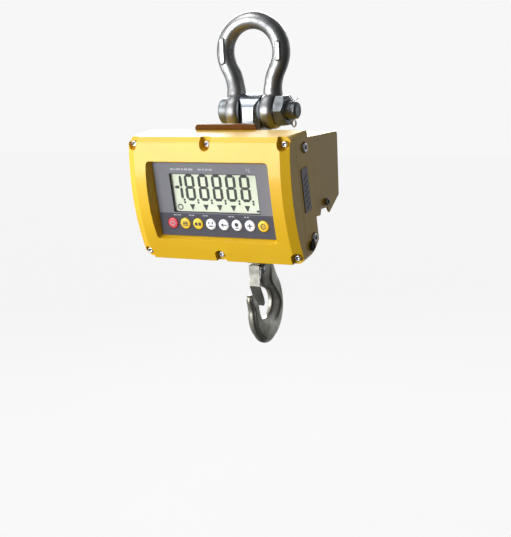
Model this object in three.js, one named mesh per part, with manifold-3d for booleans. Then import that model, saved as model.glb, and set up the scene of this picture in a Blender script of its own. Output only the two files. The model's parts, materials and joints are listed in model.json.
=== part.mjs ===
// A hanging crane scale: bow shackle, load cell, display housing, rear cover and safety hook.
// Millimetres, +Z up, +X to the reader's right, the display faces -Y.
// The origin is the inner crown of the shackle bow, where the sling carries the scale.
import * as THREE from "three";
import { mergeVertices } from "three/addons/utils/BufferGeometryUtils.js";
import Module from "manifold-3d";

const wasm = await Module();
wasm.setup();

// ---- driving dimensions -------------------------------------------------
const GAP = 0.3; // clearance kept between touching pieces

const BOLT_Z = -77.5; // shackle bolt's axis
const BOW_D = 17; // shackle bow bar
const BOW_R = 30; // radius of the bow's crown, on the bar's centre line
const JAW = 23; // clear width between the shackle's eyes
const EYE_T = 13.5; // thickness of each shackle eye
const EYE_R = 18;
const BOLT_R = 9;
const NUT_AF = 28; // nut across flats
const COTTER_X = 40.4; // split pin through the threaded end of the bolt

const TAB_HALF = 10.6; // load cell's upper tab, half thickness
const TAB_R = 16.5;
const CELL = { halfX: 28, halfY: 13, top: -121, bottom: -190 };

const FACE_TILT = THREE.MathUtils.degToRad(10.66); // display leans to face slightly down
const FACE = { y: -88.5, z: -152.4 }; // centre of the display panel
const HALF_W = 82; // housing half width
const CROWN_R = 191; // crowned front, seen from the side
const CROWN = { y: 181.3, z: 3.4 }; // centre of that crown in the tilted frame
const HOUSING = { top: 59, bottom: -58.5, corner: 7 };
const PART_Y = 11; // parting plane behind the panel
const BACK_Y = 37.2; // rear shell's back
const PANEL = { halfX: 59, halfZ: 34.9, thick: 1.2 };
const WINDOW = { x0: -43.2, x1: 45.9, z0: -12.2, z1: 24.8 };
const KEY = { n: 8, x0: -45.75, pitch: 13.3, z: -22.9, r: 5.4 };
const COVER_SCREW = { x: 76.5, z: 52.2, seat: 4.6, r: 1.5 };
const SIDE_SCREW = { y: 28, z: 42 };

const REAR = { halfX: 62, top: -101.2, bottom: -177.5, back: 51, wall: 2 };
const BATTERY = { halfX: 56, y0: 17.6, y1: 46.8, z0: -163.4, z1: -108 }; // sealed lead-acid block
const REAR_SCREW = { y: 19, z: -166.2 };

const PIN_Z = -217.5; // hook pin's axis
const HOOK_COTTER_X = -16; // split pin through the end of the hook pin
const HOOK_HALF = 6; // half thickness of the hook
const BOWL = { y: 1.5, z: -265.5, r: 15 }; // inside of the hook's bowl
const BACK = { y: 7.1, z: -270.8, ry: 31.6, rz: 34.8 }; // outside of the hook, an ellipse
const LATCH_PIVOT = { y: -10.8, z: -228.3 };
const LUG_HALF = 4.2; // half thickness of the hook between the latch's cheeks

// ---- finishes -----------------------------------------------------------
const finish = (color, roughness, metalness) =>
  new THREE.MeshStandardMaterial({ color, roughness, metalness });
const FINISH = {
  yellow_paint: () => finish(0xe3b11c, 0.45, 0.0),
  bright_steel: () => finish(0xb9bcc0, 0.3, 0.9),
  forged_steel: () => finish(0x77746c, 0.5, 0.8),
  bracket_paint: () => finish(0x6b4d1a, 0.55, 0.1),
  screw_steel: () => finish(0xc9ccd0, 0.25, 0.9),
  panel_film: () => finish(0x77777f, 0.5, 0.0),
  lcd_glass: () => finish(0xc8d2bb, 0.15, 0.0),
  key_white: () => finish(0xe6e6e2, 0.4, 0.0),
  key_yellow: () => finish(0xeccb3c, 0.4, 0.0),
  key_red: () => finish(0xd6483e, 0.4, 0.0),
  black_rubber: () => finish(0x1c1c1c, 0.8, 0.0),
  black_plastic: () => finish(0x26282b, 0.6, 0.0),
  board_green: () => finish(0x1f5d3a, 0.5, 0.0),
  cell_wrap: () => finish(0x39424f, 0.4, 0.2),
  label_film: () => finish(0xaeb0b2, 0.5, 0.0),
};

// ---- booleans -----------------------------------------------------------
function solid(geometry) {
  const bare = geometry.clone();
  bare.deleteAttribute("normal");
  bare.deleteAttribute("uv");
  const merged = mergeVertices(bare, 1e-4);
  const index = merged.index.array;
  const kept = [];
  for (let i = 0; i < index.length; i += 3) {
    const [a, b, c] = [index[i], index[i + 1], index[i + 2]];
    if (a !== b && b !== c && c !== a) kept.push(a, b, c);
  }
  return new wasm.Manifold(
    new wasm.Mesh({
      numProp: 3,
      vertProperties: new Float32Array(merged.attributes.position.array),
      triVerts: new Uint32Array(kept),
    }),
  );
}

function geometryOf(manifold) {
  const mesh = manifold.getMesh();
  const geometry = new THREE.BufferGeometry();
  geometry.setAttribute("position", new THREE.BufferAttribute(new Float32Array(mesh.vertProperties), 3));
  geometry.setIndex(new THREE.BufferAttribute(new Uint32Array(mesh.triVerts), 1));
  geometry.computeVertexNormals();
  return geometry;
}

const union = (...pieces) => pieces.reduce((sum, piece) => sum.add(piece));
const cut = (body, ...tools) => tools.reduce((rest, tool) => rest.subtract(tool), body);

// ---- shapes along the axes ----------------------------------------------
const polygon = (points) => new THREE.Shape(points.map(([a, b]) => new THREE.Vector2(a, b)));

// A rounded rectangle from (x0, z0) to (x1, z1).
function roundedRect(x0, z0, x1, z1, r) {
  const shape = new THREE.Shape();
  shape.moveTo(x0 + r, z0);
  shape.lineTo(x1 - r, z0);
  shape.absarc(x1 - r, z0 + r, r, -Math.PI / 2, 0);
  shape.lineTo(x1, z1 - r);
  shape.absarc(x1 - r, z1 - r, r, 0, Math.PI / 2);
  shape.lineTo(x0 + r, z1);
  shape.absarc(x0 + r, z1 - r, r, Math.PI / 2, Math.PI);
  shape.lineTo(x0, z0 + r);
  shape.absarc(x0 + r, z0 + r, r, Math.PI, 1.5 * Math.PI);
  return shape;
}

const turn = (x, y, z) =>
  new THREE.Matrix4().makeBasis(new THREE.Vector3(...x), new THREE.Vector3(...y), new THREE.Vector3(...z));
const ALONG_X = turn([0, 1, 0], [0, 0, 1], [1, 0, 0]); // shape (y, z), depth along +X
const ALONG_Y = turn([1, 0, 0], [0, 0, 1], [0, -1, 0]); // shape (x, z), depth along -Y

function prismX(shape, x0, x1, segments = 8) {
  return new THREE.ExtrudeGeometry(shape, { depth: x1 - x0, bevelEnabled: false, curveSegments: segments })
    .applyMatrix4(ALONG_X)
    .translate(x0, 0, 0);
}

function prismY(shape, y0, y1, segments = 4) {
  return new THREE.ExtrudeGeometry(shape, { depth: y1 - y0, bevelEnabled: false, curveSegments: segments })
    .applyMatrix4(ALONG_Y)
    .translate(0, y1, 0);
}

function prismZ(shape, z0, z1) {
  return new THREE.ExtrudeGeometry(shape, { depth: z1 - z0, bevelEnabled: false }).translate(0, 0, z0);
}

const box = (x0, x1, y0, y1, z0, z1) =>
  new THREE.BoxGeometry(x1 - x0, y1 - y0, z1 - z0).translate((x0 + x1) / 2, (y0 + y1) / 2, (z0 + z1) / 2);

// A solid of revolution about X through (y, z), from [x, radius] pairs that run along +X.
function turnedX(profile, y, z, segments = 24) {
  const points = profile.map(([x, r]) => new THREE.Vector2(r, x));
  return new THREE.LatheGeometry(points, segments)
    .rotateZ(-Math.PI / 2).rotateX(Math.PI / 2).translate(0, y, z);
}

const rodX = (x0, x1, r, y, z, segments = 24) =>
  turnedX([[x0, 0], [x0, r], [x1, r], [x1, 0]], y, z, segments);

// The same about Y through (x, z).
function turnedY(profile, x, z, segments = 16) {
  const points = profile.map(([y, r]) => new THREE.Vector2(r, y));
  return new THREE.LatheGeometry(points, segments).translate(x, 0, z);
}

const rodY = (y0, y1, r, x, z, segments = 16) =>
  turnedY([[y0, 0], [y0, r], [y1, r], [y1, 0]], x, z, segments);

// A regular hexagonal bar about X.
const hexX = (x0, x1, acrossFlats, y, z) => rodX(x0, x1, acrossFlats / Math.sqrt(3), y, z, 6);

// A bar of round section carried along a list of points; sides is even.
function bar(points, r, sides, steps) {
  const section = new THREE.Shape().absarc(0, 0, r, 0, 2 * Math.PI);
  return new THREE.ExtrudeGeometry(section, {
    extrudePath: new THREE.CatmullRomCurve3(points),
    steps,
    curveSegments: sides / 2,
    bevelEnabled: false,
  });
}

const arcPoints = (cy, cz, r, from, to, n, place) =>
  Array.from({ length: n + 1 }, (_, i) => {
    const a = THREE.MathUtils.degToRad(from + ((to - from) * i) / n);
    return place(cy + r * Math.cos(a), cz + r * Math.sin(a));
  });

// ---- shackle ------------------------------------------------------------
function shackleBow() {
  const crownZ = -BOW_D / 2 - BOW_R + BOW_D; // the inside of the crown is at z = 0
  const legX = JAW / 2 + BOW_D / 2; // the bar runs flush with the inside of the jaw
  const inXZ = (x, z) => new THREE.Vector3(x, 0, z);
  const sweep = 24; // degrees that the crown arc runs below its widest points
  const crown = arcPoints(0, crownZ, BOW_R, -sweep, 180 + sweep, 14, inXZ);
  const legs = [[legX, BOLT_Z + 16.9], [legX, BOLT_Z + 24], [legX + 2.4, BOLT_Z + 34]];
  const path = [
    ...legs.map(([x, z]) => inXZ(x, z)),
    ...crown,
    ...legs.reverse().map(([x, z]) => inXZ(-x, z)),
  ];
  let bow = solid(bar(path, BOW_D / 2, 14, 40));
  for (const side of [-1, 1]) {
    const inner = (side * JAW) / 2;
    const outer = side * (JAW / 2 + EYE_T);
    const [x0, x1] = side > 0 ? [inner, outer] : [outer, inner];
    const eye = [[x0, 0], [x0, EYE_R - 2.5], [x0 + 2.5, EYE_R], [x1 - 2.5, EYE_R],
      [x1, EYE_R - 2.5], [x1, 0]];
    const neck = polygon([[-9, BOLT_Z], [9, BOLT_Z], [6.5, BOLT_Z + 27], [-6.5, BOLT_Z + 27]]);
    bow = union(bow, solid(turnedX(eye, 0, BOLT_Z)), solid(prismX(neck, x0, x1)));
    const pad = side > 0 ? box(20, 24, -9.6, -7, -30, -14) : box(-24, -20, -9.6, -7, -34, -10);
    bow = bow.add(solid(pad.translate(side * 6, 0, 0)));
  }
  const jaw = box(-JAW / 2, JAW / 2, -30, 30, BOLT_Z - 30, BOLT_Z + 22);
  return cut(bow, solid(jaw), solid(rodX(-40, 40, BOLT_R + GAP, 0, BOLT_Z)));
}

function shackleBolt() {
  const outer = JAW / 2 + EYE_T + GAP;
  const profile = [
    [-outer - 10.5, 0], [-outer - 10.5, 10.5], [-outer - 8.5, 13], [-outer, 13],
    [-outer, BOLT_R], [outer + 0.5, BOLT_R], [outer + 1, 8.3], [44, 8.3], [45.5, 6.8], [45.5, 0],
  ];
  return cut(solid(turnedX(profile, 0, BOLT_Z)), solid(rodZ(COTTER_X, 1.8, BOLT_Z - 20, BOLT_Z + 20)));
}

const rodZ = (x, r, z0, z1, y = 0) =>
  new THREE.CylinderGeometry(r, r, z1 - z0, 10).rotateX(Math.PI / 2).translate(x, y, (z0 + z1) / 2);

function shackleNut() {
  const x0 = JAW / 2 + EYE_T + GAP;
  const nut = solid(hexX(x0, x0 + 10.2, NUT_AF, 0, BOLT_Z));
  const chamfer = solid(
    turnedX([[x0, 0], [x0, 14.6], [x0 + 1, 16.4], [x0 + 8.4, 16.4], [x0 + 10.2, 13.6],
      [x0 + 10.2, 0]], 0, BOLT_Z),
  );
  return cut(nut.intersect(chamfer), solid(rodX(x0 - 1, x0 + 12, BOLT_R + GAP, 0, BOLT_Z)));
}

// A split pin down a cross hole at x: an eye above or below, a straight shank, and one bent leg.
function splitPin(x, z, boltR, r, eyeDown) {
  const s = eyeDown ? -1 : 1;
  const at = (dx, dz, dy = 0) => new THREE.Vector3(x + dx, dy, z + s * dz);
  const eye = new THREE.TorusGeometry(r * 2.1, r * 0.6, 5, 10).rotateX(Math.PI / 2);
  eye.translate(x, 0, z + s * (boltR + r * 3));
  const shank = bar([at(0, boltR + r * 1.6), at(0, 0), at(0, -boltR - r)], r * 0.8, 6, 3);
  const leg = bar([at(0, -boltR + 0.5), at(0, -boltR - r * 1.2), at(r * 2, -boltR - r * 3)], r * 0.62, 6, 4);
  return union(solid(shank), solid(eye), solid(leg));
}

// ---- load cell and its bracket ------------------------------------------
function loadCell() {
  const y = TAB_R;
  const c = 5; // bevel on the tab's vertical edges
  const section = polygon([
    [-TAB_HALF, -y + c], [-TAB_HALF + c, -y], [TAB_HALF - c, -y], [TAB_HALF, -y + c],
    [TAB_HALF, y - c], [TAB_HALF - c, y], [-TAB_HALF + c, y], [-TAB_HALF, y - c],
  ]);
  const outline = new THREE.Shape();
  outline.moveTo(-y, CELL.top - 1);
  outline.lineTo(y, CELL.top - 1);
  outline.absarc(0, BOLT_Z, y, 0, Math.PI);
  const tab = solid(prismZ(section, CELL.top - 1, BOLT_Z + y + 1))
    .intersect(solid(prismX(outline, -TAB_HALF - 1, TAB_HALF + 1)));
  const body = solid(box(-CELL.halfX, CELL.halfX, -CELL.halfY, CELL.halfY, CELL.bottom, CELL.top));
  const fork = new THREE.Shape();
  fork.moveTo(-8.5, CELL.bottom + 1);
  fork.lineTo(-8.5, PIN_Z);
  fork.absarc(0, PIN_Z, 8.5, Math.PI, 2 * Math.PI);
  fork.lineTo(8.5, CELL.bottom + 1);
  return cut(
    union(tab, body, solid(prismX(fork, -13, 13))),
    solid(rodX(-20, 20, BOLT_R + 0.5, 0, BOLT_Z)),
    solid(box(-HOOK_HALF - 0.5, HOOK_HALF + 0.5, -20, 20, PIN_Z - 20, PIN_Z + 14)),
    solid(rodX(-20, 20, 5 + GAP, 0, PIN_Z, 16)),
    solid(box(-40, 17, -20, 20, -145, -142)),
    solid(box(-17, 40, -20, 20, -168, -165)),
    ...bracketBolts().map(([side, by, bz]) =>
      solid(side > 0 ? rodX(17, 40, 3 + GAP, by, bz, 12) : rodX(-40, -17, 3 + GAP, by, bz, 12))),
  );
}

const bracketBolts = () => [-1, 1].flatMap((side) => [[side, 4, -134], [side, 4, -178]]);

// From the tilted housing frame (y back, z up the panel) to the part's frame.
function fromFace(y, z) {
  const c = Math.cos(FACE_TILT);
  const s = Math.sin(FACE_TILT);
  return [FACE.y + y * c - z * s, FACE.z + y * s + z * c];
}

function mountingBracket() {
  const tilt = (geometry) => geometry.rotateX(FACE_TILT).translate(0, FACE.y, FACE.z);
  const web = solid(tilt(prismY(roundedRect(-31.5, -28, 31.5, 60.5, 4), BACK_Y + 1, BACK_Y + 4)));
  const side = polygon([fromFace(BACK_Y + 2, 22), [13, -127], [13, -186], fromFace(BACK_Y + 2, -28)]);
  const flanges = [-1, 1].map((s) =>
    solid(s > 0 ? prismX(side, CELL.halfX + GAP, 31.5) : prismX(side, -31.5, -CELL.halfX - GAP)));
  const bolts = bracketBolts().map(([s, y, z]) => solid(rodX(s * 34 - 8, s * 34 + 8, 3 + GAP, y, z, 12)));
  const screws = housingScrews().map(([x, z]) => solid(tilt(rodY(20, 50, 2.5 + GAP, x, z, 12))));
  return cut(union(web, ...flanges), ...bolts, ...screws);
}

const housingScrews = () => [[-22, 34], [22, 34], [-22, -12], [22, -12]];

// A socket-head cap screw about the X or Y axis: head from the seat outwards, shank inwards.
function capScrew(r, headR, headH, length) {
  return [
    [-headH, 0], [-headH, headR - 0.5], [-headH + 0.5, headR], [0, headR], [0, r], [length, r], [length, 0],
  ];
}
function screwY(x, z, seat, r, headR, headH, length) {
  const profile = capScrew(r, headR, headH, length).map(([y, radius]) => [y + seat, radius]);
  const socket = rodY(seat - headH - 1, seat - headH + headH * 0.55, headR * 0.5, x, z, 6);
  return cut(solid(turnedY(profile, x, z, 12)), solid(socket));
}
function screwX(side, y, z, seat, r, headR, headH, length) {
  const profile = capScrew(r, headR, headH, length).map(([x, radius]) => [-(x - seat), radius]).reverse();
  const socket = rodX(seat + headH * 0.45, seat + headH + 1, headR * 0.5, y, z, 6);
  const screw = geometryOf(cut(solid(turnedX(profile, y, z, 12)), solid(socket)));
  return side > 0 ? screw : screw.rotateZ(Math.PI).translate(0, 2 * y, 0);
}

// ---- display housing, in the tilted frame -------------------------------
function crownedBlock() {
  const crown = turnedX(
    [[-HALF_W, 0], [-HALF_W, CROWN_R - 4], [-74, CROWN_R], [74, CROWN_R], [HALF_W, CROWN_R - 4], [HALF_W, 0]],
    CROWN.y, CROWN.z, 96,
  );
  const { top, bottom, corner } = HOUSING;
  const outline = prismY(roundedRect(-HALF_W, bottom, HALF_W, top, corner), -20, PART_Y);
  const side = polygon([[-12, bottom], [PART_Y, bottom], [PART_Y, 57.9], [1.5, 58.9], [-12, 45.4]]);
  return solid(crown).intersect(solid(outline)).intersect(solid(prismX(side, -90, 90)));
}

// The drafted window through the crown: its walls open out towards the front.
function panelRecess() {
  const halfX = PANEL.halfX + GAP;
  const halfZ = PANEL.halfZ + GAP;
  const outline = roundedRect(-halfX, -halfZ, halfX, halfZ, 1.2);
  const frustum = new THREE.ExtrudeGeometry(outline, {
    depth: 8, bevelEnabled: true, bevelThickness: 11, bevelSize: 3.6, bevelSegments: 1, curveSegments: 4,
  });
  return frustum.applyMatrix4(ALONG_Y).translate(0, PANEL.thick + GAP - 11, 0);
}

function coverScrewPlaces() {
  return [-1, 0, 1].flatMap((i) => [[i * COVER_SCREW.x, COVER_SCREW.z], [i * COVER_SCREW.x, -COVER_SCREW.z]]);
}

// The display housing's front half: crowned, cored out behind so that its walls are 3 to 5 mm.
function frontCover() {
  const ledge = box(-PANEL.halfX + 5, PANEL.halfX - 5, -15, 15, -PANEL.halfZ + 4, PANEL.halfZ - 5);
  const hollow = box(-78, 78, 4.5, 15, -46, 46);
  const ring = solid(box(-78, 78, -0.3, 5, -44, 44)).subtract(solid(box(-66.5, 66.5, -2, 6, -41, 41)));
  const pockets = coverScrewPlaces().map(([x, z]) => {
    const end = Math.sign(z) * 70;
    const slot = box(x - 5.2, x + 5.2, -30, COVER_SCREW.seat, Math.min(z, end), Math.max(z, end));
    return solid(slot).add(solid(rodY(-30, COVER_SCREW.seat, 5.2, x, z)));
  });
  const bores = coverScrewPlaces().map(([x, z]) => solid(rodY(0, 20, COVER_SCREW.r + GAP, x, z, 12)));
  const cores = [-1, 1].flatMap((s) => {
    const pocket = (x0, x1, ...rest) => solid(s > 0 ? box(x0, x1, ...rest) : box(-x1, -x0, ...rest));
    return [
      pocket(8, 69, 0.8, 8.3, 43.5, 55.2),
      pocket(8, 69, 2.6, 8.3, -55, -43.5),
      pocket(67, 76, -2.2, 0.2, -36, 36),
    ];
  });
  return cut(
    crownedBlock(), solid(panelRecess()), solid(ledge), solid(hollow), ring, ...cores, ...pockets, ...bores,
  );
}

function rearShell() {
  const front = PART_Y + GAP;
  const { top, bottom, corner } = HOUSING;
  const side = polygon([[front, bottom], [21, -57], [BACK_Y + 0.6, -46.5], [BACK_Y, 55.4], [front, 57.9]]);
  const outline = prismY(roundedRect(-HALF_W, bottom, HALF_W, top, corner), front, 50);
  const inside = polygon([[front - 2, -46], [22, -49.2], [26, -49.2], [34.4, -45.4], [34.2, 46.5],
    [front - 2, 46.5]]);
  const lightening = [-1, 1].flatMap((s) => {
    const [x0, x1] = s > 0 ? [7, 69] : [-69, -7];
    const below = polygon([[front + 3, -45], [front + 3, -55], [21, -54], [32, -47], [32, -45]]);
    return [solid(box(x0, x1, front + 3, 33, 45, 53)), solid(prismX(below, x0, x1))];
  });
  const outerGroove = prismY(roundedRect(-81, -49.8, 81, 50.3, 4), front - 1, front + 2);
  const innerGroove = prismY(roundedRect(-78.8, -47.6, 78.8, 48.1, 3), front - 2, front + 3);
  const screws = coverScrewPlaces()
    .map(([x, z]) => solid(rodY(front - 1, 23, COVER_SCREW.r + GAP, x, z, 12)));
  const backScrews = housingScrews().map(([x, z]) => solid(rodY(30, 50, 2.5 + GAP, x, z, 12)));
  const sideBores = sideScrewPlaces().flatMap(([s, z]) => [
    solid(rodX(s * 84.5 - 5.5, s * 84.5 + 5.5, 5.3, SIDE_SCREW.y, z, 16)),
    solid(rodX(s * 80 - 6, s * 80 + 6, 2.5 + GAP, SIDE_SCREW.y, z, 12)),
  ]);
  return cut(
    solid(outline).intersect(solid(prismX(side, -90, 90))),
    solid(prismX(inside, -77, 77)),
    ...lightening,
    solid(outerGroove).subtract(solid(innerGroove)),
    solid(rodY(30, 50, 3 + GAP, 0, -38, 12)),
    ...screws, ...backScrews, ...sideBores,
  );
}

const sideScrewPlaces = () => [-1, 1].flatMap((s) => [[s, SIDE_SCREW.z], [s, -SIDE_SCREW.z]]);

function coverGasket() {
  const front = PART_Y + GAP;
  const outer = prismY(roundedRect(-80.7, -49.5, 80.7, 50, 3.7), front, front + 1.7);
  const inner = prismY(roundedRect(-79.1, -47.9, 79.1, 48.4, 3.3), front - 1, front + 3);
  return solid(outer).subtract(solid(inner));
}

const keyX = (i) => KEY.x0 + KEY.pitch * i;
const keyIndexes = Array.from({ length: KEY.n }, (_, i) => i);

function keypadOverlay() {
  const plate = roundedRect(-PANEL.halfX, -PANEL.halfZ, PANEL.halfX, PANEL.halfZ, 1);
  const { x0, x1, z0, z1 } = WINDOW;
  return cut(
    solid(prismY(plate, 0, PANEL.thick)),
    solid(box(x0, x1, -2, 3, z0, z1)),
    ...keyIndexes.map((i) => solid(rodY(-2, 3, KEY.r + GAP + 0.1, keyX(i), KEY.z, 14))),
  );
}

const displayWindow = () => {
  const { x0, x1, z0, z1 } = WINDOW;
  return box(x0 - 0.6, x1 + 0.6, 1.6, 2.5, z0 - 0.6, z1 + 0.6);
};

// A round key: a domed cap proud of the panel and a plunger behind it.
const keyCap = (i) =>
  turnedY([[-1, 0], [-1, KEY.r - 1], [-0.4, KEY.r], [1, KEY.r], [1, 3], [4.6, 3], [4.6, 0]],
    keyX(i), KEY.z, 14);

function innerFrame() {
  const web = box(-76.5, 76.5, 31.5, 33.5, -40, 45.5);
  const flanges = [-1, 1].map((s) => box(s * 75.5 - 1, s * 75.5 + 1, 18, 33, -45.4, 45.5));
  return cut(
    union(solid(web), ...flanges.map(solid)),
    ...sideScrewPlaces().map(([s, z]) => solid(rodX(s * 75 - 4, s * 75 + 4, 2.5 + GAP, SIDE_SCREW.y, z, 12))),
    ...housingScrews().map(([x, z]) => solid(rodY(25, 40, 2.5 + GAP, x, z, 12))),
    solid(box(-14, 14, 25, 40, -50, -30)),
  );
}

// ---- rear cover and batteries -------------------------------------------
function rearCover() {
  const [frontTop] = fromFace(BACK_Y + 4.6, 46);
  const [frontBottom] = fromFace(BACK_Y + 4.6, -32);
  const { top, bottom, back, wall, halfX } = REAR;
  const side = new THREE.Shape();
  side.moveTo(frontTop, top);
  side.lineTo(frontBottom, bottom);
  const edge = [[6.5, bottom], [8.5, bottom + 5.5], [23.2, bottom + 5.5], [27.6, bottom], [back, -163]];
  for (const [y, z] of edge) {
    side.lineTo(y, z);
  }
  side.lineTo(back, top - 4);
  side.absarc(back - 4, top - 4, 4, 0, Math.PI / 2);
  const inside = new THREE.Shape();
  inside.moveTo(frontTop - 20, top - wall);
  inside.lineTo(frontTop - 20, bottom - 20);
  inside.lineTo(back - wall, bottom - 20);
  inside.lineTo(back - wall, top - 4);
  inside.absarc(back - 4, top - 4, 4 - wall, 0, Math.PI / 2);
  return cut(
    solid(prismX(side, -halfX, halfX)),
    solid(prismX(inside, -halfX + wall, halfX - wall)),
    solid(prismZ(polygon([[-13, -20], [13, -20], [13, 20], [-13, 20]]), top - 10, top + 10)),
    solid(rodX(-80, 80, 2 + GAP, REAR_SCREW.y, REAR_SCREW.z, 12)),
  );
}

function batteryHolder() {
  const { halfX, y0, z0, z1 } = BATTERY;
  return cut(
    solid(box(-59.5, 59.5, CELL.halfY + GAP, 46, -171, -106)),
    solid(box(-halfX - GAP, halfX + GAP, y0 - GAP, 50, z0 - GAP, z1 + GAP)),
    ...[-1, 1].map((s) => solid(rodX(s * 58 - 5, s * 58 + 5, 1.9, REAR_SCREW.y, REAR_SCREW.z, 12))),
    solid(box(-TAB_HALF - 1.4, TAB_HALF + 1.4, 10, TAB_R + 1, CELL.top - 2, -100)),
  );
}

// The block with a raised lid strip on its back.
function batteryPack() {
  const { halfX, y0, y1, z0, z1 } = BATTERY;
  const lid = box(-halfX + 6, halfX - 6, y1 - 1, y1 + 1.8, z0 + 6, z1 - 6);
  return solid(box(-halfX, halfX, y0, y1, z0, z1)).add(solid(lid));
}

// ---- lead from the load cell into the housing ---------------------------
function cellLead() {
  const [y0, z0] = fromFace(BACK_Y + 12.5, -38);
  const [y1, z1] = fromFace(BACK_Y + 16, -38);
  const route = [[-CELL.halfY - 0.5, -184], [-CELL.halfY - 4, -184], [(y1 - 17) / 2, -186],
    [y1, z1], [y0, z0]];
  return bar(route.map(([y, z]) => new THREE.Vector3(0, y, z)), 2.2, 8, 12);
}

const leadGland = () =>
  turnedY([[BACK_Y + 0.8, 0], [BACK_Y + 0.8, 6.2], [BACK_Y + 6, 6.2], [BACK_Y + 7, 4.8], [BACK_Y + 12, 3.4],
    [BACK_Y + 12, 0]], 0, -38, 14);

// ---- hook, pin and latch ------------------------------------------------
function hookOutline() {
  const s = new THREE.Shape();
  s.moveTo(-13, PIN_Z);
  s.lineTo(-13.2, -229);
  s.bezierCurveTo(-13.2, -232.5, -11, -233.5, -9.5, -235.8);
  s.lineTo(-3.5, -244.2);
  s.bezierCurveTo(-1, -247.8, 1.5, -249.8, 6, -251.2);
  s.absarc(BOWL.y, BOWL.z, BOWL.r, THREE.MathUtils.degToRad(72.5), -Math.PI, true);
  s.bezierCurveTo(-13.5, -261, -18, -258, -21.5, -253.4);
  s.bezierCurveTo(-23, -251.6, -28.2, -251, -28.6, -256.5);
  s.bezierCurveTo(-29, -261, BACK.y - BACK.ry, -265, BACK.y - BACK.ry, BACK.z);
  s.absellipse(BACK.y, BACK.z, BACK.ry, BACK.rz, Math.PI, 2 * Math.PI);
  s.bezierCurveTo(BACK.y + BACK.ry, -250, 27, -234.5, 12.4, -221.5);
  s.absarc(0, PIN_Z, 13, THREE.MathUtils.degToRad(-17), Math.PI);
  return s;
}

function hook() {
  const bevel = 2.2;
  const body = new THREE.ExtrudeGeometry(hookOutline(), {
    depth: 2 * (HOOK_HALF - bevel),
    bevelEnabled: true, bevelThickness: bevel, bevelSize: bevel, bevelOffset: -bevel,
    bevelSegments: 1, curveSegments: 9,
  });
  body.applyMatrix4(ALONG_X).translate(-HOOK_HALF + bevel, 0, 0);
  return cut(
    solid(body),
    solid(rodX(-20, 20, 5 + GAP, 0, PIN_Z, 16)),
    solid(rodX(-20, 20, 1.6 + GAP, LATCH_PIVOT.y, LATCH_PIVOT.z, 12)),
    solid(box(LUG_HALF, 8, -20, -5, -243, -222.5)),
    solid(box(-8, -LUG_HALF, -20, -5, -243, -222.5)),
  );
}

const hookPin = () =>
  cut(
    solid(turnedX([[-18.5, 0], [-18.5, 4.2], [-17.7, 5], [13 + GAP, 5], [13 + GAP, 7], [16.5, 7], [16.5, 0]],
      0, PIN_Z, 16)),
    solid(rodZ(HOOK_COTTER_X, 1.1, PIN_Z - 9, PIN_Z + 9)),
  );

function latch() {
  const { y, z } = LATCH_PIVOT;
  const plate = polygon([[-15, -225.5], [-13.8, -225.5], [-13.8, -245.2], [-2.35, -266.2],
    [-3.4, -266.8], [-15, -245.5]]);
  const cheek = polygon([[-14.4, -225.6], [y + 1.5, z + 3.2], [y + 3.2, z + 0.8],
    [y + 3.2, z - 1.5], [-13.9, -240]]);
  const half = 5.6;
  const taper = polygon([[-half, -224], [-half, -258], [-4.8, -263.5], [-2.6, -267.5],
    [2.6, -267.5], [4.8, -263.5], [half, -258], [half, -224]]);
  const inside = LUG_HALF + GAP;
  return cut(
    union(
      solid(prismX(plate, -half, half)),
      solid(prismX(cheek, inside, half)),
      solid(prismX(cheek, -half, -inside)),
    ).intersect(solid(prismY(taper, -30, 30))),
    solid(rodX(-20, 20, 1.6 + GAP, y, z, 12)),
  );
}

const latchPin = () => {
  const { y, z } = LATCH_PIVOT;
  return turnedX([[-7.3, 0], [-7.3, 2.6], [-5.9, 2.6], [-5.9, 1.6], [7.7, 1.6], [7.7, 2.6], [8.9, 2.6],
    [8.9, 0]], y, z, 12);
};

// A torsion spring round the latch pin, with a leg along the latch and a leg against the shank.
function latchSpring() {
  const { y, z } = LATCH_PIVOT;
  const coil = solid(rodX(5.9, 7.4, 3.1, y, z, 14)).subtract(solid(rodX(5.8, 8, 2.0, y, z, 14)));
  const onLatch = bar([[6.5, -1.6, -2.2], [6.5, -3, -5], [6.5, -3.4, -10]]
    .map(([x, dy, dz]) => new THREE.Vector3(x, y + dy, z + dz)), 0.5, 4, 3);
  const onShank = bar([[6.9, 2.2, 1], [6.9, 3.6, -2], [6.9, 4.4, -6]]
    .map(([x, dy, dz]) => new THREE.Vector3(x, y + dy, z + dz)), 0.5, 4, 3);
  return union(coil, solid(onLatch), solid(onShank));
}

// ---- assembly -----------------------------------------------------------
const scale = new THREE.Group();
const face = new THREE.Group();
face.position.set(0, FACE.y, FACE.z);
face.rotation.x = FACE_TILT;
scale.add(face);

function add(parent, name, shape, finishName) {
  const geometry = shape.isBufferGeometry ? shape : geometryOf(shape);
  const mesh = new THREE.Mesh(geometry, FINISH[finishName]());
  mesh.name = name;
  parent.add(mesh);
}

add(scale, "shackle_bow", shackleBow(), "bright_steel");
add(scale, "shackle_bolt", shackleBolt(), "bright_steel");
add(scale, "shackle_nut", shackleNut(), "bright_steel");
add(scale, "shackle_split_pin", splitPin(COTTER_X, BOLT_Z, 8.3, 1.7, true), "screw_steel");

add(scale, "load_cell", loadCell(), "bright_steel");
add(scale, "mounting_bracket", mountingBracket(), "bracket_paint");
bracketBolts().forEach(([side, y, z], i) =>
  add(scale, `bracket_bolt_${i + 1}`, screwX(side, y, z, 31.5 + GAP, 3, 5, 6, 13), "screw_steel"));

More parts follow.
